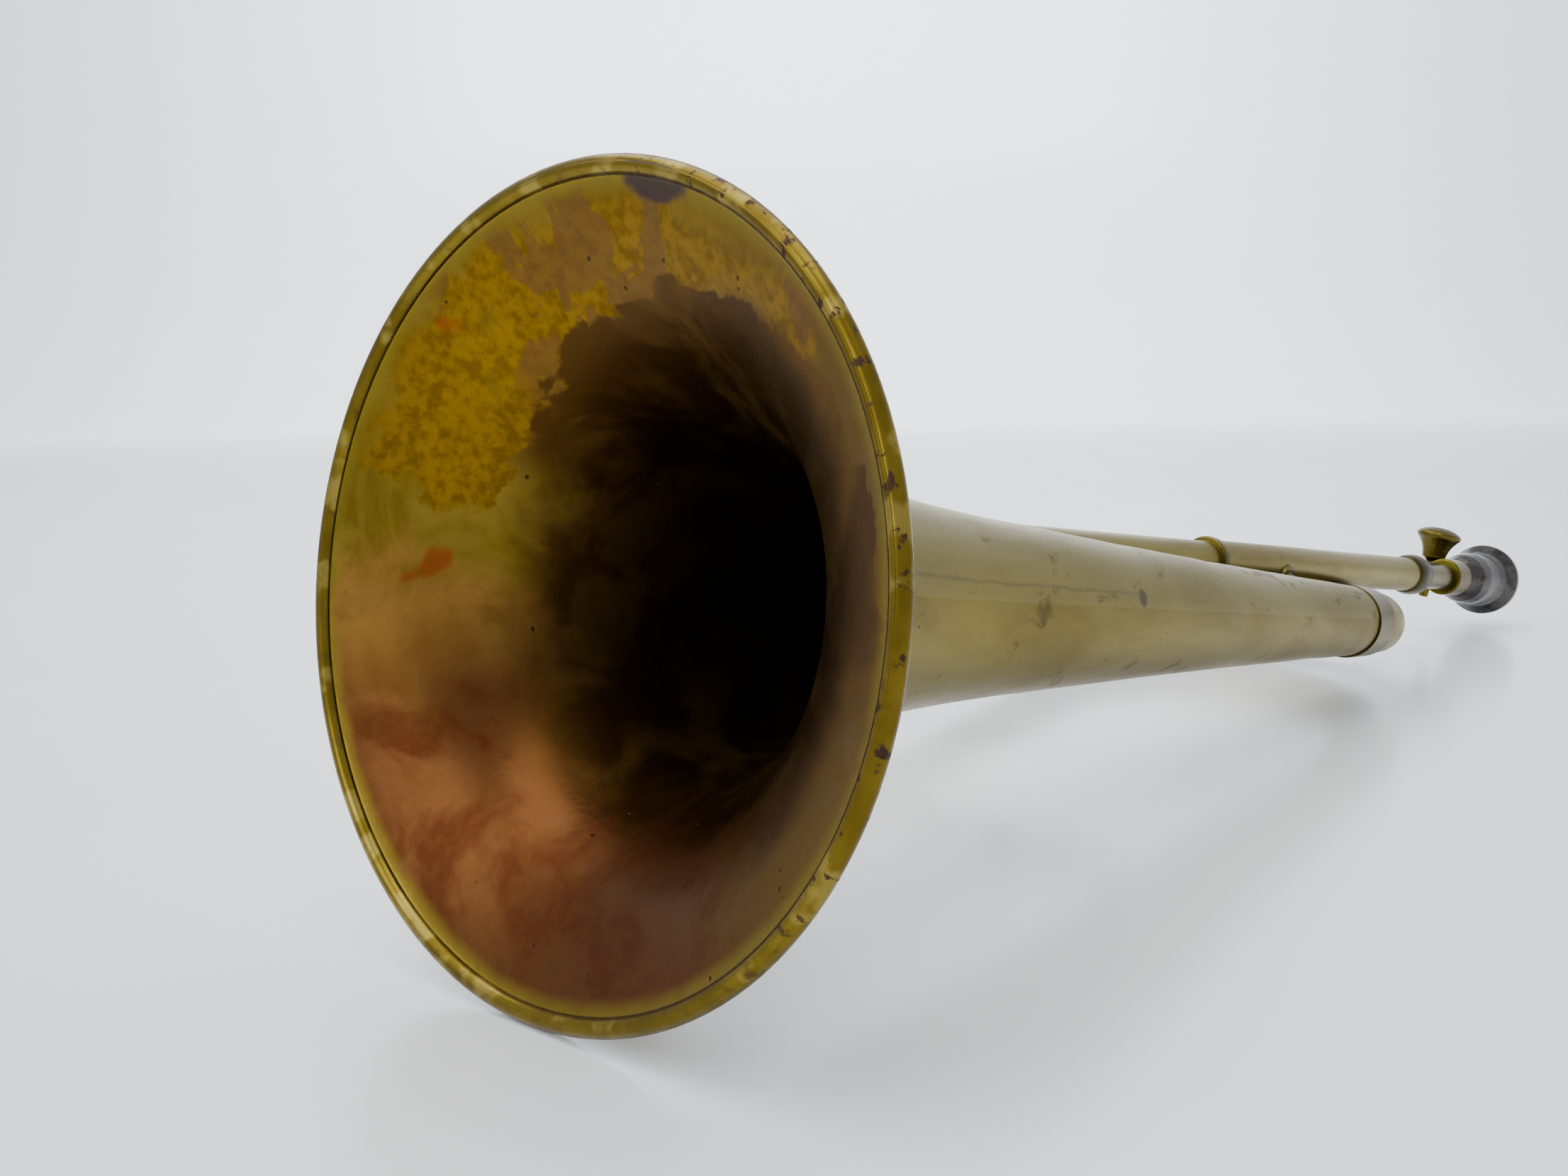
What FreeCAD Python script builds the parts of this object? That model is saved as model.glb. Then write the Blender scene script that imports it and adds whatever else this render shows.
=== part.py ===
import FreeCAD, Part
import math
import os

# A brass bugle lying on its side on a table: one conical tube wound once, with the
# bell pointing along -X, the loop of tubing lying out to +Y and the leadpipe and
# mouthpiece running back along +X above the bell tube. Millimetres, +Z up.
#
# Every piece is first shaped in the instrument's own frame: x runs down the bell
# tube from the bell's mouth, y points to the far side of the loop and z stands
# square to the loop. The last step lays the whole instrument on the table.

# Lying position on the table: it rests on the bell's rim and on the rear bow.
TAIL_DROP = 7.53
LOOP_ROLL = -6.0
LOWEST_AND_CENTRE = (240.5, 27.56, -64.664)

# Bell and bell tube
RIM_RADIUS = 65.0
BEAD_RADIUS = 1.6
BELL_WALL = 0.6
BELL_PROFILE = [
    (2.0, 62.2),
    (3.6, 58.0),
    (6.5, 52.0),
    (10.0, 46.6),
    (15.0, 41.2),
    (22.0, 36.0),
    (31.0, 31.4),
    (43.0, 27.2),
    (58.0, 23.6),
    (76.0, 20.9),
    (96.0, 19.1),
    (130.0, 17.3),
    (182.0, 14.8),
    (234.0, 12.7),
    (286.0, 10.9),
    (313.0, 10.0),
]
TAIL_X = 313.0

# Loop of tubing
LOOP_WIDTH = 106.0
FAR_TUBE_Z = 0.0
BOW_WALL = 0.6
REAR_BOW_RADIUS = 9.3
FAR_TUBE_RADII = (8.6, 6.4)
FRONT_X = 124.0
FRONT_BOW_RADIUS = 5.9
FERRULE_LENGTH = 12.0
FERRULE_WALL = 0.45

# Leadpipe, which lies above the bell tube and a little to the loop's side of it,
# and rises slightly towards the mouthpiece
LEAD_Y = 18.6
LEAD_START_Z = 15.134
LEAD_RISE = 0.64
LEADPIPE_RADIUS = 5.3
LEADPIPE_BORE = 4.7
RING_X = 249.0
RING_RADIUS = 6.7
SLEEVE_RADIUS = 5.8
SLEEVE_BORE = 4.75
SLEEVE_END_X = 404.0
BALL_X = 408.0
BALL_RADIUS = 7.1

# Tuning shank and the split clamp on its end
SHANK_RADIUS = 4.7
SHANK_START_X = 300.0
SHANK_END_X = 454.0
SHANK_BORE = 3.95
CLAMP_X = (441.0, 454.0)
CLAMP_LEAN = 16.5
CLAMP_RADIUS = 6.7
CLAMP_SLOT = 1.2
SCREW_X = 450.5
SCREW_OFFSET_Y = 8.0
SCREW_RADIUS = 1.7
SCREW_HOLE_RADIUS = 1.77
EAR_THICKNESS = 2.6
SCREW_HEAD_RADIUS = 7.8

# Mouthpiece
MOUTH_RIM_X = 490.0
MOUTH_RIM_RADIUS = 13.3
MOUTH_SHANK_RADIUS = 3.88
MOUTH_SHANK_START_X = 428.0

# Stays, brace and cord rings
STAY_X = (150.0, 292.0)
STAY_PILLAR_RADIUS = 2.2
STAY_FOOT_RADIUS = 5.0
STAY_FOOT_THICKNESS = 0.9
BRACE_X = 205.0
BRACE_RADIUS = 2.2
BRACE_FOOT_RADIUS = 6.5
EYE_X = (140.0, 215.0)
EYE_RADIUS = 3.0
EYE_WIRE = 0.9
CORD_RING_RADIUS = 9.0
CORD_RING_WIRE = 1.0

ORIGIN = FreeCAD.Vector(0, 0, 0)
AXIS_X = FreeCAD.Vector(1, 0, 0)
AXIS_Y = FreeCAD.Vector(0, 1, 0)
AXIS_Z = FreeCAD.Vector(0, 0, 1)


def turned(outline, y=0.0, z=0.0):
    """A solid of revolution about the line through (y, z) along x, from (x, radius) pairs."""
    points = [FreeCAD.Vector(x, y + r, z) for x, r in outline]
    points.append(points[0])
    face = Part.Face(Part.makePolygon(points))
    return face.revolve(FreeCAD.Vector(0, y, z), AXIS_X, 360)


def tube(x0, x1, outer0, outer1, inner0, inner1, y=0.0, z=0.0):
    """A straight or tapered pipe along x."""
    return turned([(x0, inner0), (x0, outer0), (x1, outer1), (x1, inner1)], y, z)


def rounded_edge_ring(x0, x1, outer, inner, rounding, y=0.0, z=0.0):
    """A short ring whose two outer edges are rounded off."""
    ring = tube(x0, x1, outer, outer, inner, inner, y, z)
    edges = []
    for edge in ring.Edges:
        curve = edge.Curve
        if isinstance(curve, Part.Circle) and abs(curve.Radius - outer) < 1e-6:
            edges.append(edge)
    return ring.makeFillet(rounding, edges)


def smooth_curve(points):
    curve = Part.BSplineCurve()
    curve.interpolate(points)
    return curve.toShape()


def bell_radius(x):
    """Outer radius of the bell tube at x, straight between the profile's stations."""
    for (x0, r0), (x1, r1) in zip(BELL_PROFILE, BELL_PROFILE[1:]):
        if x0 <= x <= x1:
            return r0 + (r1 - r0) * (x - x0) / (x1 - x0)
    return BELL_PROFILE[-1][1]


def far_tube_radius(x):
    share = (TAIL_X - x) / (TAIL_X - FRONT_X)
    return FAR_TUBE_RADII[0] + (FAR_TUBE_RADII[1] - FAR_TUBE_RADII[0]) * share


def make_bell():
    """The flared bell and its tapering tube, drawn from one sheet of even thickness."""
    outer = [FreeCAD.Vector(x, r, 0) for x, r in BELL_PROFILE]
    curve = Part.BSplineCurve()
    curve.interpolate(outer)
    inner = []
    for point in outer:
        tangent = curve.tangent(curve.parameter(point))[0]
        across = FreeCAD.Vector(-tangent.y, tangent.x, 0)
        inner.append(point - across * BELL_WALL)
    outer_edge = smooth_curve(outer)
    inner_edge = smooth_curve(inner)
    mouth_edge = Part.makeLine(inner[0], outer[0])
    tail_edge = Part.makeLine(outer[-1], inner[-1])
    wire = Part.Wire(Part.__sortEdges__([outer_edge, tail_edge, inner_edge, mouth_edge]))
    return Part.Face(wire).revolve(ORIGIN, AXIS_X, 360)


def make_rim_bead():
    """The rolled bead round the bell's mouth."""
    centre = FreeCAD.Vector(BEAD_RADIUS, 0, 0)
    return Part.makeTorus(RIM_RADIUS - BEAD_RADIUS, BEAD_RADIUS, centre, AXIS_X)


def half_bend(start, centre, across, outer, wall):
    """A pipe bent through a half turn, its section square to x at the start point."""
    disc = Part.Face(Part.Wire(Part.makeCircle(outer, start, AXIS_X)))
    hole = Part.Face(Part.Wire(Part.makeCircle(outer - wall, start, AXIS_X)))
    return disc.cut(hole).revolve(centre, across, 180)


def make_rear_bow():
    """The rear bow leans a little, climbing from the bell tube to the far tube."""
    start = FreeCAD.Vector(TAIL_X, LOOP_WIDTH, FAR_TUBE_Z)
    end = FreeCAD.Vector(TAIL_X, 0, 0)
    across = AXIS_X.cross(end - start).normalize()
    return half_bend(start, (start + end) * 0.5, across, REAR_BOW_RADIUS, BOW_WALL)


def make_front_bow():
    """The front bow leans, because it climbs from the loop's level to the leadpipe's."""
    start = FreeCAD.Vector(FRONT_X, LOOP_WIDTH, FAR_TUBE_Z)
    end = FreeCAD.Vector(FRONT_X, LEAD_Y, LEAD_START_Z)
    centre = (start + end) * 0.5
    across = AXIS_X.cross(end - start).normalize()
    return half_bend(start, centre, across * -1, FRONT_BOW_RADIUS, BOW_WALL)


def make_far_tube():
    r0 = FAR_TUBE_RADII[1]
    r1 = FAR_TUBE_RADII[0]
    return tube(FRONT_X, TAIL_X, r0, r1, r0 - BOW_WALL, r1 - BOW_WALL, LOOP_WIDTH, FAR_TUBE_Z)


def make_bell_ferrule():
    """A thin sleeve soldered round the end of the bell tube, where the rear bow starts."""
    x0 = TAIL_X - FERRULE_LENGTH
    r0 = bell_radius(x0) - 0.05
    r1 = bell_radius(TAIL_X) - 0.05
    return tube(x0, TAIL_X, r0 + FERRULE_WALL, r1 + FERRULE_WALL, r0, r1)


def make_far_tube_ferrules():
    """The sleeves at the two ends of the far tube, each a little wider than its bow."""
    rear = REAR_BOW_RADIUS + FERRULE_WALL
    x0 = TAIL_X - FERRULE_LENGTH
    r_rear = far_tube_radius(x0) - 0.05
    rear_sleeve = tube(x0, TAIL_X, rear, rear, r_rear, far_tube_radius(TAIL_X) - 0.05,
                       LOOP_WIDTH, FAR_TUBE_Z)
    x1 = FRONT_X + FERRULE_LENGTH
    front = far_tube_radius(x1) + FERRULE_WALL
    r_front = far_tube_radius(FRONT_X) - 0.05
    front_sleeve = tube(FRONT_X, x1, front, front, r_front, far_tube_radius(x1) - 0.05,
                        LOOP_WIDTH, FAR_TUBE_Z)
    return rear_sleeve, front_sleeve


def make_leadpipe():
    """The fixed leadpipe, stepped down at its end to fit inside the slide sleeve."""
    bore = LEADPIPE_BORE - 0.5
    outline = [
        (FRONT_X, bore),
        (FRONT_X, LEADPIPE_RADIUS),
        (RING_X, LEADPIPE_RADIUS),
        (RING_X, SLEEVE_BORE),
        (RING_X + 14, SLEEVE_BORE),
        (RING_X + 14, bore),
    ]
    return turned(outline)


def make_leadpipe_ferrule():
    x1 = FRONT_X + FERRULE_LENGTH
    outer = FRONT_BOW_RADIUS + 0.2
    inner = LEADPIPE_RADIUS - 0.05
    return tube(FRONT_X, x1, outer, outer, inner, inner)


def make_slide_sleeve():
    """The outer sleeve that the tuning shank slides in."""
    r = SLEEVE_RADIUS
    bore = SLEEVE_BORE
    return tube(RING_X, SLEEVE_END_X, r, r, bore, bore)


def make_leadpipe_ring():
    """The narrow raised ring where the slide sleeve begins."""
    inner = SLEEVE_RADIUS - 0.05
    return rounded_edge_ring(RING_X, RING_X + 3, RING_RADIUS, inner, 0.6)


def make_ball_ferrule():
    """The rounded bead that closes the end of the slide sleeve."""
    half = 6.0
    edge_radius = SLEEVE_RADIUS - 0.3
    points = []
    for step in range(9):
        angle = math.pi * step / 8
        x = BALL_X - half * math.cos(angle)
        r = edge_radius + (BALL_RADIUS - edge_radius) * math.sin(angle)
        points.append(FreeCAD.Vector(x, r, 0))
    back = FreeCAD.Vector(BALL_X + half, SLEEVE_BORE, 0)
    shoulder = FreeCAD.Vector(SLEEVE_END_X, SLEEVE_BORE, 0)
    step_up = FreeCAD.Vector(SLEEVE_END_X, edge_radius, 0)
    edges = [smooth_curve(points)]
    edges.append(Part.makeLine(points[-1], back))
    edges.append(Part.makeLine(back, shoulder))
    edges.append(Part.makeLine(shoulder, step_up))
    edges.append(Part.makeLine(step_up, points[0]))
    face = Part.Face(Part.Wire(Part.__sortEdges__(edges)))
    return face.revolve(FreeCAD.Vector(0, 0, 0), AXIS_X, 360)


def make_tuning_shank():
    """The sliding tube, with the mouthpiece's socket in its outer end."""
    outline = [
        (SHANK_START_X, SHANK_BORE - 0.9),
        (SHANK_START_X, SHANK_RADIUS),
        (SHANK_END_X, SHANK_RADIUS),
        (SHANK_END_X, SHANK_BORE),
        (MOUTH_SHANK_START_X - 2, SHANK_BORE),
        (MOUTH_SHANK_START_X - 2, SHANK_BORE - 0.9),
    ]
    return turned(outline)


def ear_box(z0, z1):
    """One of the clamp's two flat ears, with its corners rounded and a hole for the screw."""
    x0, x1 = CLAMP_X
    length = x1 - x0
    width = SCREW_OFFSET_Y + 3.6 - SHANK_RADIUS
    corner = FreeCAD.Vector(x0, SHANK_RADIUS, z0)
    ear = Part.makeBox(length, width, z1 - z0, corner)
    outer_edges = []
    for edge in ear.Edges:
        middle = edge.CenterOfMass
        upright = abs(middle.z - (z0 + z1) / 2) < 0.01
        if upright and middle.y > SCREW_OFFSET_Y:
            outer_edges.append(edge)
    ear = ear.makeFillet(3.0, outer_edges)
    foot = FreeCAD.Vector(SCREW_X, SCREW_OFFSET_Y, z0 - 1)
    return ear.cut(Part.makeCylinder(SCREW_HOLE_RADIUS, z1 - z0 + 2, foot, AXIS_Z))


def make_clamp_collar():
    """A split ring with two ears, which the thumbscrew draws together."""
    x0, x1 = CLAMP_X
    ring = rounded_edge_ring(x0, x1, CLAMP_RADIUS, SHANK_RADIUS, 0.8)
    half_slot = CLAMP_SLOT / 2
    corner = FreeCAD.Vector(x0 - 1, 0, 0 - half_slot)
    ring = ring.cut(Part.makeBox(x1 - x0 + 2, 12, CLAMP_SLOT, corner))
    upper = ear_box(half_slot, half_slot + EAR_THICKNESS)
    lower = ear_box(-half_slot - EAR_THICKNESS, -half_slot)
    shank = Part.makeCylinder(SHANK_RADIUS, 30, FreeCAD.Vector(x0 - 10, 0, 0), AXIS_X)
    foot = FreeCAD.Vector(SCREW_X, SCREW_OFFSET_Y, -10)
    screw_hole = Part.makeCylinder(SCREW_HOLE_RADIUS, 20, foot)
    return ring.fuse([upper, lower]).cut([shank, screw_hole]).removeSplitter()


def make_thumbscrew():
    """The screw, with a domed head that narrows like a trumpet's mouth to its stem."""
    seat = CLAMP_SLOT / 2 + EAR_THICKNESS + 0.06
    tip = -9.4
    top = SCREW_HEAD_RADIUS
    outline = [
        (0, tip),
        (SCREW_RADIUS - 0.4, tip),
        (SCREW_RADIUS, tip + 0.4),
        (SCREW_RADIUS, seat),
        (2.1, seat),
        (2.1, seat + 0.9),
        (3.0, seat + 1.65),
        (3.9, seat + 2.3),
        (4.2, seat + 2.9),
        (4.2, seat + 3.4),
        (4.45, seat + 4.6),
        (4.95, seat + 6.2),
        (5.7, seat + 7.7),
        (6.6, seat + 9.0),
        (7.4, seat + 9.9),
        (top, seat + 10.5),
        (top, seat + 11.3),
        (top - 0.7, seat + 12.1),
        (top - 2.2, seat + 12.9),
        (top - 4.4, seat + 13.6),
        (0, seat + 13.9),
    ]
    y0 = SCREW_OFFSET_Y
    points = [FreeCAD.Vector(SCREW_X + r, y0, z) for r, z in outline]
    points.append(points[0])
    face = Part.Face(Part.makePolygon(points))
    return face.revolve(FreeCAD.Vector(SCREW_X, y0, 0), AXIS_Z, 360)


def make_mouthpiece():
    """The cup mouthpiece: shank, throat bead, bowl and rim, bored through."""
    outside = [
        (MOUTH_SHANK_START_X, MOUTH_SHANK_RADIUS),
        (SHANK_END_X + 0.4, MOUTH_SHANK_RADIUS),
        (SHANK_END_X + 1.6, 4.6),
        (MOUTH_RIM_X - 33.0, 5.4),
        (MOUTH_RIM_X - 31.0, 7.4),
        (MOUTH_RIM_X - 28.0, 8.8),
        (MOUTH_RIM_X - 23.0, 9.7),
        (MOUTH_RIM_X - 12.0, 10.0),
        (MOUTH_RIM_X - 8.0, 10.6),
        (MOUTH_RIM_X - 5.2, MOUTH_RIM_RADIUS - 0.9),
        (MOUTH_RIM_X - 3.8, MOUTH_RIM_RADIUS),
        (MOUTH_RIM_X - 1.6, MOUTH_RIM_RADIUS - 0.1),
        (MOUTH_RIM_X - 0.4, MOUTH_RIM_RADIUS - 1.3),
        (MOUTH_RIM_X, 11.0),
        (MOUTH_RIM_X - 0.3, 9.6),
        (MOUTH_RIM_X - 1.4, 8.7),
        (MOUTH_RIM_X - 5.0, 8.2),
        (MOUTH_RIM_X - 9.0, 6.9),
        (MOUTH_RIM_X - 12.0, 4.9),
        (MOUTH_RIM_X - 14.5, 2.9),
        (MOUTH_RIM_X - 16.5, 2.0),
        (MOUTH_RIM_X - 22.0, 1.9),
        (MOUTH_SHANK_START_X, 2.9),
    ]
    return turned(outside)


def stay_foot(x, radius, thickness, foot_radius, y, z, toward):
    """A round foot plate that wraps the tube at (y, z) and faces along toward."""
    shell = tube(x - 10, x + 10, radius(x - 10) + thickness, radius(x + 10) + thickness,
                 radius(x - 10) - 0.05, radius(x + 10) - 0.05, y, z)
    start = FreeCAD.Vector(x, y, z) + toward * (radius(x) * 0.5)
    punch = Part.makeCylinder(foot_radius, radius(x) * 0.5 + thickness + 3, start, toward)
    return shell.common(punch)


def leadpipe_outer(x):
    return LEADPIPE_RADIUS if x < RING_X else SLEEVE_RADIUS


def lead_height(x):
    """Height of the leadpipe's axis above the bell tube's axis."""
    return LEAD_START_Z + (x - FRONT_X) * math.tan(math.radians(LEAD_RISE))


def make_stay(x):
    """A short pillar with a foot on the bell tube and a foot on the leadpipe."""
    z = lead_height(x)
    toward = FreeCAD.Vector(0, LEAD_Y, z)
    distance = toward.Length
    toward.normalize()
    lower = stay_foot(x, bell_radius, STAY_FOOT_THICKNESS, STAY_FOOT_RADIUS, 0, 0, toward)
    upper = stay_foot(x, leadpipe_outer, STAY_FOOT_THICKNESS, STAY_FOOT_RADIUS - 1, LEAD_Y, z, toward * -1)
    start = FreeCAD.Vector(x, 0, 0) + toward * (bell_radius(x) + 0.3)
    length = distance - bell_radius(x) - leadpipe_outer(x) - 0.6
    pillar = Part.makeCylinder(STAY_PILLAR_RADIUS, length, start, toward)
    return lower.fuse([upper, pillar]).removeSplitter()


def make_brace_rod():
    """The bar across the loop, turned with a bead at its middle."""
    start_y = bell_radius(BRACE_X) + 0.9
    span = math.hypot(LOOP_WIDTH, FAR_TUBE_Z)
    end_y = span - far_tube_radius(BRACE_X) - 0.9
    middle = (start_y + end_y) / 2
    outline = [
        (start_y, 0),
        (start_y, BRACE_RADIUS + 0.9),
        (start_y + 2, BRACE_RADIUS + 0.9),
        (start_y + 3, BRACE_RADIUS),
        (middle - 5, BRACE_RADIUS),
        (middle - 3.5, BRACE_RADIUS + 1.5),
        (middle, BRACE_RADIUS + 2.2),
        (middle + 3.5, BRACE_RADIUS + 1.5),
        (middle + 5, BRACE_RADIUS),
        (end_y - 3, BRACE_RADIUS),
        (end_y - 2, BRACE_RADIUS + 0.9),
        (end_y, BRACE_RADIUS + 0.9),
        (end_y, 0),
    ]
    points = [FreeCAD.Vector(BRACE_X + r, y, 0) for y, r in outline]
    points.append(points[0])
    face = Part.Face(Part.makePolygon(points))
    rod = face.revolve(FreeCAD.Vector(BRACE_X, 0, 0), AXIS_Y, 360)
    rod.rotate(ORIGIN, AXIS_X, math.degrees(math.atan2(FAR_TUBE_Z, LOOP_WIDTH)))
    return rod


def make_brace_feet():
    """The brace's two foot plates, one on the bell tube and one on the far tube."""
    along = FreeCAD.Vector(0, LOOP_WIDTH, FAR_TUBE_Z).normalize()
    near = stay_foot(BRACE_X, bell_radius, 1.0, BRACE_FOOT_RADIUS, 0, 0, along)
    far = stay_foot(BRACE_X, far_tube_radius, 1.0, BRACE_FOOT_RADIUS - 1, LOOP_WIDTH, FAR_TUBE_Z, along * -1)
    return near, far


def eye_centre(x):
    return FreeCAD.Vector(x, LOOP_WIDTH + far_tube_radius(x) + EYE_RADIUS + EYE_WIRE - 0.5, FAR_TUBE_Z)


def make_cord_eye(x):
    """A small wire eye soldered edge-on to the outside of the far tube."""
    return Part.makeTorus(EYE_RADIUS, EYE_WIRE, eye_centre(x), AXIS_X)


def cord_ring_pivot(x):
    """Where the ring's wire sits in the eye, just above the eye's lowest point."""
    drop = EYE_RADIUS - EYE_WIRE - CORD_RING_WIRE - 0.15
    return eye_centre(x) - AXIS_Z * drop


def make_cord_ring(x):
    """A plain wire ring for the carrying cord, hanging through its eye."""
    pivot = cord_ring_pivot(x)
    ring = Part.makeTorus(CORD_RING_RADIUS, CORD_RING_WIRE, pivot - AXIS_Z * CORD_RING_RADIUS, AXIS_Y)
    ring.rotate(pivot, AXIS_X, -LOOP_ROLL)
    return ring


def make_all():
    rear_sleeve, front_sleeve = make_far_tube_ferrules()
    foot_near, foot_far = make_brace_feet()
    pieces = {
        "bell": make_bell(),
        "rim_bead": make_rim_bead(),
        "bell_ferrule": make_bell_ferrule(),
        "rear_bow": make_rear_bow(),
        "rear_bow_ferrule": rear_sleeve,
        "far_tube": make_far_tube(),
        "front_bow_ferrule": front_sleeve,
        "front_bow": make_front_bow(),
        "leadpipe_ferrule": on_leadpipe_line(make_leadpipe_ferrule()),
        "leadpipe": on_leadpipe_line(make_leadpipe()),
        "leadpipe_ring": on_leadpipe_line(make_leadpipe_ring()),
        "slide_sleeve": on_leadpipe_line(make_slide_sleeve()),
        "ball_ferrule": on_leadpipe_line(make_ball_ferrule()),
        "front_stay": make_stay(STAY_X[0]),
        "rear_stay": make_stay(STAY_X[1]),
        "brace_rod": make_brace_rod(),
        "brace_foot_near": foot_near,
        "brace_foot_far": foot_far,
        "cord_eyes": Part.makeCompound([make_cord_eye(x) for x in EYE_X]),
        "cord_ring_front": make_cord_ring(EYE_X[0]),
        "cord_ring_rear": make_cord_ring(EYE_X[1]),
        "tuning_shank": on_leadpipe_line(make_tuning_shank()),
        "clamp_collar": on_leadpipe_line(leaned(make_clamp_collar())),
        "thumbscrew": on_leadpipe_line(leaned(make_thumbscrew())),
        "mouthpiece": on_leadpipe_line(make_mouthpiece()),
    }
    return pieces


def leaned(shape):
    """Turns the clamp about the shank, so that its screw leans to the near side."""
    shape.rotate(ORIGIN, AXIS_X, CLAMP_LEAN)
    return shape


def on_leadpipe_line(shape):
    """Carries a piece shaped about the x axis onto the leadpipe's rising line."""
    to_start = FreeCAD.Placement(FreeCAD.Vector(-FRONT_X, 0, 0), FreeCAD.Rotation())
    rise = FreeCAD.Placement(ORIGIN, FreeCAD.Rotation(AXIS_Y, -LEAD_RISE))
    back = FreeCAD.Placement(FreeCAD.Vector(FRONT_X, LEAD_Y, LEAD_START_Z), FreeCAD.Rotation())
    moved = shape.copy()
    moved.Placement = back.multiply(rise).multiply(to_start).multiply(moved.Placement)
    return moved


def lying_placement():
    """Roll about the bell tube's axis, then tail down, then onto the table's origin."""
    roll = FreeCAD.Rotation(AXIS_X, LOOP_ROLL)
    drop = FreeCAD.Rotation(AXIS_Y, TAIL_DROP)
    x, y, z = LOWEST_AND_CENTRE
    return FreeCAD.Placement(FreeCAD.Vector(-x, -y, -z), drop.multiply(roll))


def main():
    os.makedirs("parts", exist_ok=True)
    placement = lying_placement()
    for name, shape in make_all().items():
        laid = shape.copy()
        laid.Placement = placement.multiply(laid.Placement)
        laid.exportStep("parts/" + name + ".step")
        print(name, "valid" if laid.isValid() else "NOT VALID", round(laid.Volume, 1), len(laid.Solids))


main()
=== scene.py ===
"""The looks of a tarnished brass bugle on a pale table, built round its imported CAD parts."""

import math

import bpy
import bmesh
import numpy as np
from mathutils import Euler, Matrix, Vector, noise


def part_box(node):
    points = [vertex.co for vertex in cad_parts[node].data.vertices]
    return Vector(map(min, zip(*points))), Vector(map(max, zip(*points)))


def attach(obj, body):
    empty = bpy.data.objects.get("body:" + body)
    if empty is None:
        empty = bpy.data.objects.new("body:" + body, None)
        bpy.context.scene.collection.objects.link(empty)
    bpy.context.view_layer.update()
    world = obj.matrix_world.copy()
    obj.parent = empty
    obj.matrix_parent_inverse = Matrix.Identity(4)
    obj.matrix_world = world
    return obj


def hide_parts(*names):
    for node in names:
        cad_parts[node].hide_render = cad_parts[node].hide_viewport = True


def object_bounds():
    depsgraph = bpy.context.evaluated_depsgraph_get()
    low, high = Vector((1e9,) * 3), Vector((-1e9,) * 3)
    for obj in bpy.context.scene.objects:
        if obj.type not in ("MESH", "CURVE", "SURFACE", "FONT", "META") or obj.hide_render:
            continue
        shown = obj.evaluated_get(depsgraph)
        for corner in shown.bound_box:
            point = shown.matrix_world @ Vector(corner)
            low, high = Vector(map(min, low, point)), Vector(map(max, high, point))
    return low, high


MM = 0.001

# Camera
CAMERA_PLACE = (-0.38819, -0.20549, 0.09314)
CAMERA_TURN = (82.9623, 0.8468, -48.3321)
CAMERA_LENS = 35.67
SENSOR_WIDTH = 36
CLIP = (0.01, 50)

# Bell, outer radius in millimetres at each distance from the mouth
BELL_PROFILE = [
    (2, 62.2), (3.6, 58.0), (6.5, 52.0), (10, 46.6), (15, 41.2), (22, 36.0), (31, 31.4),
    (43, 27.2), (58, 23.6), (76, 20.9), (96, 19.1), (130, 17.3), (182, 14.8), (234, 12.7),
    (286, 10.9), (313, 10.0),
]
# The inner face is led forward over the bead's crown along these points
CROWN = [(0.0, 63.7), (0.12, 63.15), (0.38, 62.75), (0.8, 62.4)]
BELL_WALL = 0.6
BEAD_RADIUS = 1.6
BELL_AROUND = 288
BELL_STEPS = 6
LONGEST_STEP = 1.6
DENT_SEED = 11
DENT_COUNT = 60
DENT_DEPTH = 0.16
DENT_SHARES = (0.3, 1.0)
DENT_SIZES = (3, 9)
DENT_STATIONS = (20, 300)
DENT_REACH = 3
WAVE_HEIGHT = 0.05
WAVE_START = 6
WAVE_ALONG = 0.05
WAVE_AROUND = 3

# Stage, in metres: the table's near and far edge and half width, the backdrop's height and bend
TABLE_NEAR, TABLE_FAR, TABLE_HALF = -3.0, 5.0, 6.0
BACKDROP_TOP, BACKDROP_BEND = 5.0, 2.0
BEND_STEPS = 24
TABLE_COLUMNS = 8
SKY_COLOUR = (0.90, 0.93, 1.0, 1)
SKY_STRENGTH = 1.1
# name, place, target, size, power, colour
LIGHTS = [
    ("overhead", (-0.2, 0.5, 2.2), (0.0, 0.0, 0.0), (2.4, 2.4), 56, (1.0, 0.99, 0.97)),
    ("window", (-2.0, 0.6, 1.3), (0.0, 0.0, 0.05), (1.4, 1.4), 18, (0.98, 0.99, 1.0)),
    ("backdrop_wash", (3.2, 2.9, 3.4), (5.0, 4.5, 1.2), (5.0, 2.0), 400, (0.97, 0.98, 1.0)),
]

# Shared looks
PIT_BROWN = (0.03, 0.02, 0.008)
LIFT_SPAN = 90

DEGREE = math.pi / 180


# ---------------------------------------------------------------- the bell's own frame

def bell_frame():
    """Places a frame at the mouth: x down the bell, y to the loop, z up from the loop's plane."""
    mouth = centre_of("rim_bead")
    tail = centre_of("bell_ferrule")
    down = (tail - mouth).normalized()
    mouth = mouth - down * BEAD_RADIUS * MM
    across = centre_of("far_tube") - mouth
    side = (across - down * across.dot(down)).normalized()
    up = down.cross(side)
    turn = Matrix((down, side, up)).transposed()
    return mouth, turn


def centre_of(node):
    """The middle of a node's box."""
    low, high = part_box(node)
    return (low + high) / 2


# ---------------------------------------------------------------- shader helpers

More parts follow.
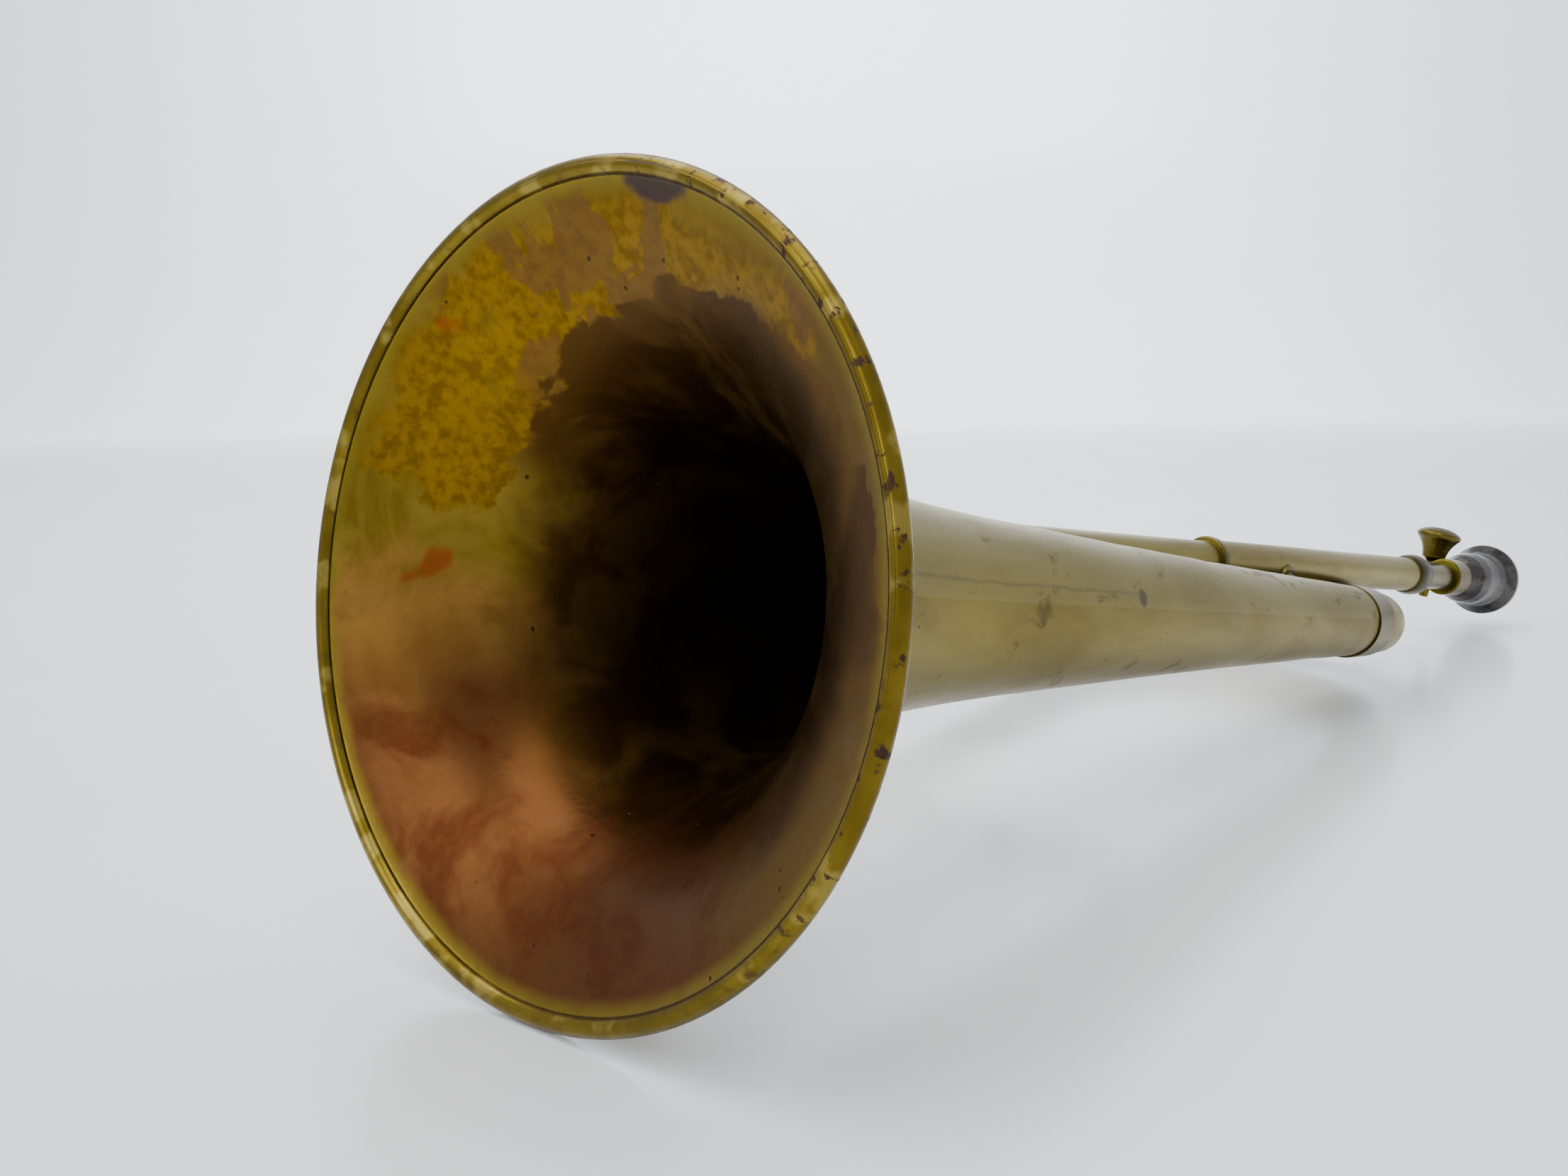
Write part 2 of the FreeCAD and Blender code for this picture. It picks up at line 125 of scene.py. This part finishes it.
class Shader:
    """A material and short calls that add its nodes."""

    def __init__(self, name):
        self.material = bpy.data.materials.new(name)
        self.material.use_nodes = True
        self.tree = self.material.node_tree
        self.tree.nodes.clear()
        self.output = self.tree.nodes.new("ShaderNodeOutputMaterial")
        self.bsdf = self.tree.nodes.new("ShaderNodeBsdfPrincipled")
        self.link(self.bsdf.outputs[0], self.output.inputs[0])

    def link(self, source, target):
        self.tree.links.new(source, target)

    def put(self, value, socket):
        """Feeds a socket with another node's output, a colour or a plain value."""
        if isinstance(value, bpy.types.NodeSocket):
            self.link(value, socket)
        elif isinstance(value, (tuple, list)) and len(value) == 3 and socket.type == "RGBA":
            socket.default_value = (*value, 1)
        else:
            socket.default_value = value

    def node(self, kind, **settings):
        made = self.tree.nodes.new("ShaderNode" + kind)
        for key, value in settings.items():
            setattr(made, key, value)
        return made

    def math(self, operation, *values):
        made = self.node("Math", operation=operation)
        for value, socket in zip(values, made.inputs):
            self.put(value, socket)
        return made.outputs[0]

    def times(self, a, b):
        return self.math("MULTIPLY", a, b)

    def plus(self, a, b):
        return self.math("ADD", a, b)

    def minus(self, a, b):
        return self.math("SUBTRACT", a, b)

    def over(self, a, b):
        return self.math("DIVIDE", a, b)

    def most(self, a, b):
        return self.math("MAXIMUM", a, b)

    def mix(self, factor, a, b):
        """Colour a, going to colour b as factor goes from 0 to 1."""
        made = self.node("Mix", data_type="RGBA")
        made.clamp_factor = True
        self.put(factor, made.inputs[0])
        self.put(a, made.inputs[6])
        self.put(b, made.inputs[7])
        return made.outputs[2]

    def ramp(self, value, low, high, start=0.0, end=1.0):
        """Runs smoothly from start to end as value goes from low to high."""
        made = self.node("MapRange", interpolation_type="SMOOTHSTEP")
        self.put(value, made.inputs["Value"])
        made.inputs["From Min"].default_value = low
        made.inputs["From Max"].default_value = high
        made.inputs["To Min"].default_value = start
        made.inputs["To Max"].default_value = end
        return made.outputs[0]

    def noise(self, place, scale, detail=4.0, rough=0.55, distortion=0.0, seed=0.0):
        made = self.node("TexNoise", noise_dimensions="4D")
        self.put(place, made.inputs["Vector"])
        made.inputs["W"].default_value = seed
        made.inputs["Scale"].default_value = scale
        made.inputs["Detail"].default_value = detail
        made.inputs["Roughness"].default_value = rough
        made.inputs["Distortion"].default_value = distortion
        return made.outputs[0]

    def cells(self, place, scale):
        made = self.node("TexVoronoi")
        self.put(place, made.inputs["Vector"])
        made.inputs["Scale"].default_value = scale
        return made.outputs[0]

    def place(self, stretch=(1, 1, 1)):
        """The surface point in the bell's own frame, in metres."""
        mouth, turn = bell_frame()
        here = self.node("TexCoord").outputs["Object"]
        made = self.node("Mapping", vector_type="TEXTURE")
        self.put(here, made.inputs["Vector"])
        made.inputs["Location"].default_value = mouth
        made.inputs["Rotation"].default_value = turn.to_euler()
        if stretch == (1, 1, 1):
            return made.outputs[0]
        scaled = self.node("Mapping")
        self.put(made.outputs[0], scaled.inputs["Vector"])
        scaled.inputs["Scale"].default_value = stretch
        return scaled.outputs[0]

    def split(self, place):
        """The x, y and z outputs of a vector."""
        made = self.node("SeparateXYZ")
        self.put(place, made.inputs[0])
        return made.outputs

    def bump(self, height, distance, strength=1.0, after=None):
        made = self.node("Bump")
        self.put(height, made.inputs["Height"])
        made.inputs["Distance"].default_value = distance
        made.inputs["Strength"].default_value = strength
        if after is not None:
            self.put(after, made.inputs["Normal"])
        return made.outputs[0]

    def finish(self, colour, roughness, metallic=1.0, normal=None):
        self.put(colour, self.bsdf.inputs["Base Color"])
        self.put(roughness, self.bsdf.inputs["Roughness"])
        self.put(metallic, self.bsdf.inputs["Metallic"])
        if normal is not None:
            self.put(normal, self.bsdf.inputs["Normal"])
        return self.material


# ---------------------------------------------------------------- materials

def around_and_along(s):
    """Angle round the bell in degrees (0 to the loop, 90 up) and distance from the mouth in mm."""
    x, y, z = s.split(s.place())
    angle = s.over(s.math("ARCTAN2", z, y), DEGREE)
    return angle, s.over(x, MM)


def zone(s, value, low, high, soft):
    """1 between low and high, 0 outside, with soft edges."""
    rise = s.ramp(value, low - soft, low + soft)
    fall = s.ramp(value, high - soft, high + soft, 1.0, 0.0)
    return s.times(rise, fall)


def pitting(s, place, scale, low, high, where):
    """Small round pits, kept to the places where the mask is 1."""
    return s.times(s.ramp(s.cells(place, scale), low, high, 1.0, 0.0), where)


def squared_reach(s, a, a_centre, a_size, b, b_centre, b_size):
    """Square of the distance from a spot's centre, in units of the spot's own size."""
    across = s.over(s.minus(a, a_centre), a_size)
    down = s.over(s.minus(b, b_centre), b_size)
    return s.plus(s.times(across, across), s.times(down, down))


def bell_inside():
    """Old brass: jagged bright patches above, copper-red below, near black down the throat."""
    s = Shader("bell_inside_patina")
    place = s.place()
    angle, _ = around_and_along(s)
    _, y, z = s.split(place)
    radius = s.over(s.math("SQRT", s.plus(s.times(y, y), s.times(z, z))), MM)
    broad = s.noise(place, 28, 5, 0.6, 0.6, 1.0)
    patch = s.noise(place, 50, 5, 0.55, 1.4, 4.0)
    fine = s.noise(place, 420, 3, 0.6, 0.0, 7.0)
    jag = s.plus(s.times(s.minus(patch, 0.5), 26), s.times(s.minus(broad, 0.5), 40))
    lift = s.over(s.times(z, LIFT_SPAN / MM), radius)
    warped = s.plus(lift, s.times(s.minus(broad, 0.5), 110))
    # the angle again, from -90 to 270, so that the seam of the circle lies at the bottom
    upwards = s.math("WRAP", angle, 270.0, -90.0)

    gold = s.mix(s.ramp(fine, 0.35, 0.65), (0.105, 0.055, 0.0), (0.19, 0.105, 0.002))
    olive = s.mix(s.ramp(patch, 0.4, 0.6), (0.12, 0.078, 0.006), (0.16, 0.108, 0.014))
    tan = s.mix(s.ramp(broad, 0.4, 0.6), (0.23, 0.12, 0.024), (0.17, 0.085, 0.02))
    copper = s.mix(s.ramp(patch, 0.42, 0.62), (0.088, 0.034, 0.011), (0.066, 0.019, 0.006))
    red = (0.19, 0.034, 0.006)
    brown = s.mix(s.ramp(patch, 0.4, 0.6), (0.060, 0.028, 0.005), (0.105, 0.055, 0.012))
    dark = (0.055, 0.032, 0.014)

    # from the loop side downwards: tan, then copper; the other side is a duller brown
    side = s.over(s.times(y, 1 / MM), radius)
    colour = s.mix(s.ramp(warped, -50, 8), copper, tan)
    colour = s.mix(s.ramp(warped, 0, 24), colour, olive)
    colour = s.mix(s.ramp(side, -0.35, -0.8), colour, (0.10, 0.058, 0.008))
    # bright gold where the lacquer has gone, with a jagged inner edge
    edge = s.plus(radius, s.times(jag, 0.55))
    retreat = s.minus(edge, s.times(s.most(s.minus(upwards, 55), 0.0), 0.185))
    gold_zone = s.times(zone(s, s.plus(upwards, jag), 24, 150, 1.2), s.ramp(retreat, 37.5, 38.3))
    gold_zone = s.times(gold_zone, s.ramp(edge, 57.5, 60.5, 1.0, 0.35))
    colour = s.mix(gold_zone, colour, gold)
    torn = s.noise(place, 42, 5, 0.55, 1.2, 9.0)
    patches = s.times(s.ramp(torn, 0.56, 0.575), zone(s, upwards, 55, 175, 8))
    colour = s.mix(s.times(patches, 0.62), colour, (0.10, 0.048, 0.016))
    leaves = s.times(s.ramp(torn, 0.42, 0.43, 1.0, 0.0), zone(s, upwards, 20, 80, 8))
    colour = s.mix(s.times(leaves, 0.45), colour, (0.10, 0.07, 0.008))
    blots = s.ramp(s.noise(place, 75, 2, 0.4, 0.3, 12.0), 0.655, 0.70)
    stains = s.times(blots, zone(s, upwards, -60, 62, 8))
    colour = s.mix(s.times(stains, 0.75), colour, red)
    # the brown that starts behind the gold and deepens down the throat; on the side away from the
    # loop the same mask also carries painted shade
    deep = s.plus(radius, s.times(jag, 0.45))
    browning_and_near_shade = s.ramp(deep, 30, 38, 1.0, 0.0)
    upper = zone(s, upwards, 38, 195, 10)
    browning_and_near_shade = s.most(browning_and_near_shade, s.times(upper, s.ramp(retreat, 37.5, 38.5, 1.0, 0.0)))
    # painted shade: on the side away from the loop, from a little inside the rim inwards, brown
    # and then near black
    near = s.ramp(side, -0.5, -0.8)
    browning_and_near_shade = s.most(browning_and_near_shade, s.times(near, s.ramp(radius, 50, 55, 0.9, 0.0)))
    colour = s.mix(browning_and_near_shade, colour, brown)
    shade = s.times(near, s.ramp(radius, 48, 54, 0.85, 0.0))
    colour = s.mix(shade, colour, (0.030, 0.015, 0.004))
    ember = s.ramp(lift, -85, -35, 0.5, 1.0)
    colour = s.mix(s.times(ember, s.ramp(deep, 20, 34, 1.0, 0.0)), colour, dark)
    # olive band next to the bead
    rim = s.ramp(s.plus(radius, s.times(jag, 0.08)), 59.0, 61.8)
    colour = s.mix(s.times(rim, 0.8), colour, (0.17, 0.125, 0.014))
    # one large purple-grey stain at the top of the rim
    reach = squared_reach(s, angle, 110, 7.5, radius, 61.5, 3.2)
    reach = s.plus(reach, s.times(jag, 0.06))
    colour = s.mix(s.ramp(reach, 0.6, 1.1, 0.9, 0.0), colour, (0.035, 0.024, 0.028))
    # dark pits and fine speckle
    rough_places = s.ramp(s.noise(place, 90, 2, 0.5, 0, 21.0), 0.56, 0.60)
    pits = pitting(s, place, 240, 0.06, 0.11, rough_places)
    colour = s.mix(s.times(pits, 0.8), colour, (0.03, 0.014, 0.006))
    colour = s.mix(s.ramp(fine, 0.40, 0.72, 0.0, 0.22), colour, brown)

    rough = s.plus(s.ramp(patch, 0.35, 0.65, 0.26, 0.40), s.times(browning_and_near_shade, 0.12))
    height = s.plus(broad, s.times(fine, 0.05))
    normal = s.bump(height, 0.9 * MM, 0.35)
    normal = s.bump(s.minus(0.0, pits), 0.1 * MM, 0.8, normal)
    return s.finish(colour, rough, 1.0, normal)


def old_brass(name, pale, deep, stain, seed, rough=(0.30, 0.44), stains=0.5):
    """Satin old brass with cloudy tarnish, brown freckles, rubbed streaks and pits."""
    s = Shader(name)
    place = s.place()
    drawn = s.place((0.25, 1, 1))
    cloud = s.noise(drawn, 45, 5, 0.6, 0.5, seed)
    freckle = s.noise(place, 210, 4, 0.6, 0.2, seed + 3)
    grain = s.noise(s.place((0.06, 1, 1)), 900, 2, 0.5, 0.0, seed + 5)
    colour = s.mix(s.ramp(cloud, 0.36, 0.64), pale, deep)
    colour = s.mix(s.ramp(grain, 0.35, 0.7, 0.0, 0.22), colour, deep)
    spots = s.times(s.ramp(freckle, 0.60, 0.68), s.ramp(cloud, 0.48, 0.60))
    colour = s.mix(s.times(spots, stains), colour, stain)
    pits = pitting(s, place, 300, 0.05, 0.10, s.ramp(freckle, 0.50, 0.56))
    colour = s.mix(s.times(pits, 0.7), colour, PIT_BROWN)
    roughness = s.plus(s.ramp(cloud, 0.35, 0.65, *rough), s.times(spots, 0.15))
    height = s.plus(cloud, s.times(freckle, 0.15))
    normal = s.bump(height, 0.35 * MM, 0.25)
    normal = s.bump(s.minus(0.0, pits), 0.08 * MM, 0.8, normal)
    return s.finish(colour, roughness, 1.0, normal)


def bell_outside():
    """Pale satin brass, with a faint seam line, brown bruises, one dark spot and painted light
    along the top.
    """
    s = Shader("bell_outside_brass")
    place = s.place()
    angle, along = around_and_along(s)
    cloud = s.noise(s.place((0.35, 1, 1)), 42, 5, 0.6, 0.6, 31.0)
    freckle = s.noise(place, 190, 5, 0.62, 0.4, 34.0)
    smear = s.noise(s.place((0.5, 1, 1)), 95, 5, 0.65, 1.2, 37.0)
    grain = s.noise(s.place((0.05, 1, 1)), 800, 2, 0.5, 0.0, 41.0)
    colour = s.mix(s.ramp(cloud, 0.36, 0.64), (0.195, 0.152, 0.018), (0.138, 0.101, 0.009))
    colour = s.mix(s.ramp(grain, 0.35, 0.7, 0.0, 0.2), colour, (0.14, 0.105, 0.025))
    # painted light: the upper side of the bell is made paler, as light from above shows it
    painted_top_light = s.ramp(angle, 60, 120, 0.0, 1.0)
    colour = s.mix(s.times(painted_top_light, 0.25), colour, (0.27, 0.235, 0.095))
    bruise = s.times(s.ramp(smear, 0.56, 0.64), s.ramp(freckle, 0.42, 0.58))
    colour = s.mix(s.times(bruise, 0.55), colour, (0.085, 0.058, 0.022))
    # the rubbed seam along the near side
    wander = s.times(s.minus(smear, 0.5), 10)
    line = zone(s, s.plus(angle, wander), 168.5, 170.5, 1.0)
    seam = s.times(line, zone(s, along, 45, 150, 12))
    colour = s.mix(s.times(seam, 0.4), colour, (0.08, 0.055, 0.02))
    reach = squared_reach(s, angle, 172, 9, along, 150, 2.2)
    colour = s.mix(s.ramp(reach, 0.3, 1.0, 0.75, 0.0), colour, (0.035, 0.022, 0.010))
    pits = pitting(s, place, 260, 0.05, 0.10, s.ramp(freckle, 0.50, 0.56))
    colour = s.mix(s.times(pits, 0.7), colour, PIT_BROWN)
    roughness = s.plus(s.ramp(cloud, 0.35, 0.65, 0.32, 0.42), s.times(bruise, 0.15))
    height = s.plus(cloud, s.times(freckle, 0.12))
    normal = s.bump(height, 0.6 * MM, 0.3)
    normal = s.bump(s.minus(0.0, pits), 0.08 * MM, 0.8, normal)
    return s.finish(colour, roughness, 1.0, normal)


def rim_brass():
    """The bead: rubbed bright on its crown, with purple-brown speckles towards the near side."""
    s = Shader("rim_brass")
    place = s.place()
    angle, _ = around_and_along(s)
    cloud = s.noise(place, 60, 5, 0.6, 0.5, 51.0)
    freckle = s.noise(place, 330, 4, 0.65, 0.3, 54.0)
    colour = s.mix(s.ramp(cloud, 0.38, 0.62), (0.15, 0.105, 0.012), (0.10, 0.068, 0.007))
    worn = s.ramp(s.noise(place, 110, 3, 0.5, 0.0, 58.0), 0.52, 0.60)
    colour = s.mix(s.times(worn, 0.55), colour, (0.30, 0.23, 0.05))
    near = s.most(s.ramp(angle, 85, 125), s.ramp(angle, -110, -150))
    speckle = s.times(s.ramp(freckle, 0.55, 0.62), s.ramp(near, 0, 1, 0.25, 0.95))
    colour = s.mix(speckle, colour, (0.045, 0.024, 0.018))
    roughness = s.plus(s.ramp(cloud, 0.35, 0.65, 0.22, 0.36), s.times(speckle, 0.25))
    normal = s.bump(s.plus(cloud, s.times(freckle, 0.25)), 0.25 * MM, 0.4)
    return s.finish(colour, roughness, 1.0, normal)


def tarnished_silver():
    """Plated metal gone grey-brown, with paler rubbed places."""
    s = Shader("mouthpiece_plate")
    place = s.place()
    cloud = s.noise(place, 130, 5, 0.6, 0.4, 71.0)
    freckle = s.noise(place, 520, 3, 0.6, 0.0, 74.0)
    colour = s.mix(s.ramp(cloud, 0.38, 0.60), (0.040, 0.036, 0.033), (0.085, 0.078, 0.072))
    colour = s.mix(s.ramp(freckle, 0.52, 0.66, 0.0, 0.5), colour, (0.026, 0.022, 0.018))
    roughness = s.ramp(cloud, 0.35, 0.65, 0.16, 0.34)
    normal = s.bump(s.plus(cloud, s.times(freckle, 0.2)), 0.12 * MM, 0.35)
    return s.finish(colour, roughness, 1.0, normal)


def table_white():
    """White laminate with a faint unevenness in its gloss."""
    s = Shader("table_white")
    place = s.place()
    cloud = s.noise(place, 9, 3, 0.5, 0.0, 81.0)
    fine = s.noise(place, 240, 2, 0.5, 0.0, 84.0)
    colour = s.mix(s.ramp(cloud, 0.3, 0.7), (0.80, 0.82, 0.83), (0.82, 0.835, 0.845))
    roughness = s.ramp(cloud, 0.3, 0.7, 0.20, 0.25)
    normal = s.bump(fine, 0.02 * MM, 0.2)
    material = s.finish(colour, roughness, 0.0, normal)
    s.bsdf.inputs["Specular IOR Level"].default_value = 0.5
    return material


# ---------------------------------------------------------------- the bell

def bell_outline():
    """Outer radius at evenly spread stations, a monotone cubic through the profile."""
    xs, rs = np.array(BELL_PROFILE, float).T
    slopes = np.diff(rs) / np.diff(xs)
    ends = np.zeros(len(xs))
    ends[0], ends[-1] = slopes[0], slopes[-1]
    widths = np.diff(xs)
    for i in range(1, len(xs) - 1):
        a, b = 2 * widths[i] + widths[i - 1], widths[i] + 2 * widths[i - 1]
        ends[i] = (a + b) / (a / slopes[i - 1] + b / slopes[i])
    stations = []
    for i in range(len(xs) - 1):
        count = max(BELL_STEPS, int(widths[i] / LONGEST_STEP))
        for k in range(count):
            u = k / count
            r = (2 * u**3 - 3 * u**2 + 1) * rs[i]
            r += (u**3 - 2 * u**2 + u) * widths[i] * ends[i]
            r += (3 * u**2 - 2 * u**3) * rs[i + 1]
            r += (u**3 - u**2) * widths[i] * ends[i + 1]
            stations.append((xs[i] + u * widths[i], r))
    stations.append((xs[-1], rs[-1]))
    return stations


def wall_inside(outline):
    """The inner face: the outline moved in by the wall, then led up over the bead's crown."""
    inner = []
    for i, (x, r) in enumerate(outline):
        before, after = outline[max(i - 1, 0)], outline[min(i + 1, len(outline) - 1)]
        along = Vector((after[0] - before[0], after[1] - before[1])).normalized()
        inner.append((x + along.y * BELL_WALL, r - along.x * BELL_WALL))
    return CROWN + inner


def random_dents():
    """Handling dents: distance from the mouth, angle, size and depth of each."""
    rng = np.random.default_rng(DENT_SEED)
    dents = []
    for _ in range(DENT_COUNT):
        at = rng.uniform(*DENT_STATIONS)
        angle = rng.uniform(0, math.tau)
        size = rng.uniform(*DENT_SIZES)
        dents.append((at, angle, size, rng.uniform(*DENT_SHARES) * DENT_DEPTH))
    return dents


def dented(x, r, a, dents):
    """The radius at station x and angle a, with the dents and a slow wave pressed in."""
    push = 0.0
    for at, angle, size, depth in dents:
        if abs(x - at) < DENT_REACH * size:
            apart = abs((a - angle + math.pi) % math.tau - math.pi) * r
            if apart < DENT_REACH * size:
                push += depth * math.exp(-((x - at) ** 2 + apart**2) / size**2)
    if x <= WAVE_START:
        return r - push
    at = (x * WAVE_ALONG, WAVE_AROUND * math.cos(a), WAVE_AROUND * math.sin(a))
    return r - push + WAVE_HEIGHT * (noise.noise(Vector(at)) - 1)


def make_bell(inside, outside):
    """The bell as one thin shell with handling dents, in place of the plain one."""
    mouth, turn = bell_frame()
    dents = random_dents()
    mesh = bmesh.new()

    def sweep(outline):
        rings = []
        for x, r in outline:
            ring = []
            for k in range(BELL_AROUND):
                a = math.tau * k / BELL_AROUND
                pressed = dented(x, r, a, dents)
                point = Vector((x, pressed * math.cos(a), pressed * math.sin(a))) * MM
                ring.append(mesh.verts.new(turn @ point + mouth))
            rings.append(ring)
        return rings

    def skin(rings, slot):
        for a, b in zip(rings, rings[1:]):
            for k in range(BELL_AROUND):
                n = (k + 1) % BELL_AROUND
                face = mesh.faces.new((a[k], b[k], b[n], a[n]))
                face.material_index = slot
                face.smooth = True

    outer = bell_outline()
    outside_rings = sweep(outer)
    inside_rings = sweep(wall_inside(outer))
    skin(outside_rings, 0)
    skin(inside_rings, 1)
    skin([inside_rings[0], outside_rings[0]], 1)
    skin([outside_rings[-1], inside_rings[-1]], 0)
    piece(mesh, "bell_shell", [outside, inside], "horn", "bell_brass", "bell")


def add_object(name, data):
    made = bpy.data.objects.new(name, data)
    bpy.context.scene.collection.objects.link(made)
    return made


def add_mesh(mesh, name, materials):
    """Puts a finished bmesh into the scene, its normals facing out."""
    bmesh.ops.recalc_face_normals(mesh, faces=mesh.faces)
    data = bpy.data.meshes.new(name)
    mesh.to_mesh(data)
    mesh.free()
    for material in materials:
        data.materials.append(material)
    return add_object(name, data)


def piece(mesh, name, materials, body, slot, *replaced):
    """Turns the mesh into a piece that rides on a body and stands for CAD nodes."""
    made = add_mesh(mesh, name, materials)
    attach(made, body)
    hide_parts(*replaced)


# ---------------------------------------------------------------- stage

def make_stage(low, high):
    """A table that runs up into a pale backdrop far behind."""
    mesh = bmesh.new()
    centre = (low + high) / 2
    heading = -CAMERA_TURN[2] * DEGREE
    look = Vector((math.sin(heading), math.cos(heading), 0))
    across = Vector((look.y, -look.x, 0))
    outline = [(TABLE_NEAR, 0.0)]
    for k in range(BEND_STEPS + 1):
        a = math.pi / 2 * k / BEND_STEPS
        outline.append((
            TABLE_FAR + BACKDROP_BEND * math.sin(a), BACKDROP_BEND - BACKDROP_BEND * math.cos(a)))
    outline.append((TABLE_FAR + BACKDROP_BEND, BACKDROP_TOP))
    rows = []
    for d, h in outline:
        row = []
        for k in range(TABLE_COLUMNS + 1):
            w = TABLE_HALF * (2 * k / TABLE_COLUMNS - 1)
            p = centre + look * d + across * w
            row.append(mesh.verts.new((p.x, p.y, low.z + h)))
        rows.append(row)
    for a, b in zip(rows, rows[1:]):
        for k in range(TABLE_COLUMNS):
            face = mesh.faces.new((a[k], a[k + 1], b[k + 1], b[k]))
            face.smooth = True
    table = add_mesh(mesh, "table", [table_white()])


def add_light(name, place, target, size, power, colour):
    """A rectangular soft light at place, turned to face target."""
    data = bpy.data.lights.new(name, "AREA")
    data.shape = "RECTANGLE"
    data.size, data.size_y = size
    data.energy = power
    data.color = colour
    made = add_object(name, data)
    made.location = place
    made.rotation_euler = (Vector(target) - Vector(place)).to_track_quat("-Z", "Y").to_euler()


def make_world():
    """An even pale sky."""
    world = bpy.data.worlds.new("studio")
    bpy.context.scene.world = world
    world.use_nodes = True
    shade = world.node_tree.nodes["Background"]
    shade.inputs["Color"].default_value = SKY_COLOUR
    shade.inputs["Strength"].default_value = SKY_STRENGTH


def make_camera():
    """The camera, low in front of the bell's mouth."""
    data = bpy.data.cameras.new("camera")
    data.lens = CAMERA_LENS
    data.sensor_width = SENSOR_WIDTH
    data.clip_start, data.clip_end = CLIP
    made = add_object("camera", data)
    made.location = CAMERA_PLACE
    made.rotation_euler = Euler([a * DEGREE for a in CAMERA_TURN])
    bpy.context.scene.camera = made


# ---------------------------------------------------------------- the scene

def paint_nodes(nodes):
    """Gives every remaining CAD node its material."""
    tube = old_brass(
        "tube_brass", (0.235, 0.19, 0.034), (0.165, 0.122, 0.018), (0.08, 0.055, 0.02), 3.0)
    fitting = old_brass(
        "fitting_brass", (0.125, 0.10, 0.024), (0.075, 0.06, 0.016), (0.035, 0.026, 0.012), 13.0,
        (0.28, 0.42), 0.8)
    dull = old_brass(
        "dull_fitting_brass", (0.050, 0.040, 0.012), (0.028, 0.023, 0.008), (0.014, 0.011, 0.006),
        17.0, (0.26, 0.40), 0.8)
    shank = old_brass(
        "shank_brass", (0.16, 0.13, 0.04), (0.10, 0.078, 0.02), (0.09, 0.06, 0.025), 23.0,
        (0.22, 0.34), 0.3)
    clamp = old_brass(
        "clamp_brass", (0.15, 0.125, 0.018), (0.085, 0.066, 0.008), (0.06, 0.04, 0.012), 27.0,
        (0.22, 0.34), 0.5)
    screw = old_brass(
        "screw_brass", (0.14, 0.108, 0.018), (0.085, 0.065, 0.012), (0.035, 0.025, 0.01), 33.0,
        (0.24, 0.36), 0.8)
    chosen = {
        "rim_bead": rim_brass(),
        "bell_ferrule": fitting,
        "rear_bow": tube,
        "rear_bow_ferrule": fitting,
        "far_tube": tube,
        "front_bow_ferrule": fitting,
        "front_bow": tube,
        "leadpipe_ferrule": fitting,
        "leadpipe": tube,
        "leadpipe_ring": fitting,
        "slide_sleeve": tube,
        "ball_ferrule": dull,
        "front_stay": fitting,
        "rear_stay": fitting,
        "brace_rod": fitting,
        "brace_foot_near": fitting,
        "brace_foot_far": fitting,
        "cord_eyes": fitting,
        "tuning_shank": shank,
        "clamp_collar": clamp,
        "thumbscrew": screw,
        "mouthpiece": tarnished_silver(),
        "cord_ring_front": shank,
        "cord_ring_rear": shank,
    }
    for name, material in chosen.items():
        data = nodes[name].data
        if not data.materials:
            data.materials.append(material)
        for k in range(len(data.materials)):
            data.materials[k] = material


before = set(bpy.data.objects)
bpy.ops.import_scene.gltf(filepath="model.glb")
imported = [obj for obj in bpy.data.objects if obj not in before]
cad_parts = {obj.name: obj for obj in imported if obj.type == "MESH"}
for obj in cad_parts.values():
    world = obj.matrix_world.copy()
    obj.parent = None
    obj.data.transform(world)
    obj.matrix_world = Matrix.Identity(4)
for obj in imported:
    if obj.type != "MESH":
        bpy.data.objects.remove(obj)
cad_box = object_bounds()
make_bell(bell_inside(), bell_outside())
paint_nodes(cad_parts)
make_stage(*cad_box)
make_world()
for light in LIGHTS:
    add_light(*light)
make_camera()
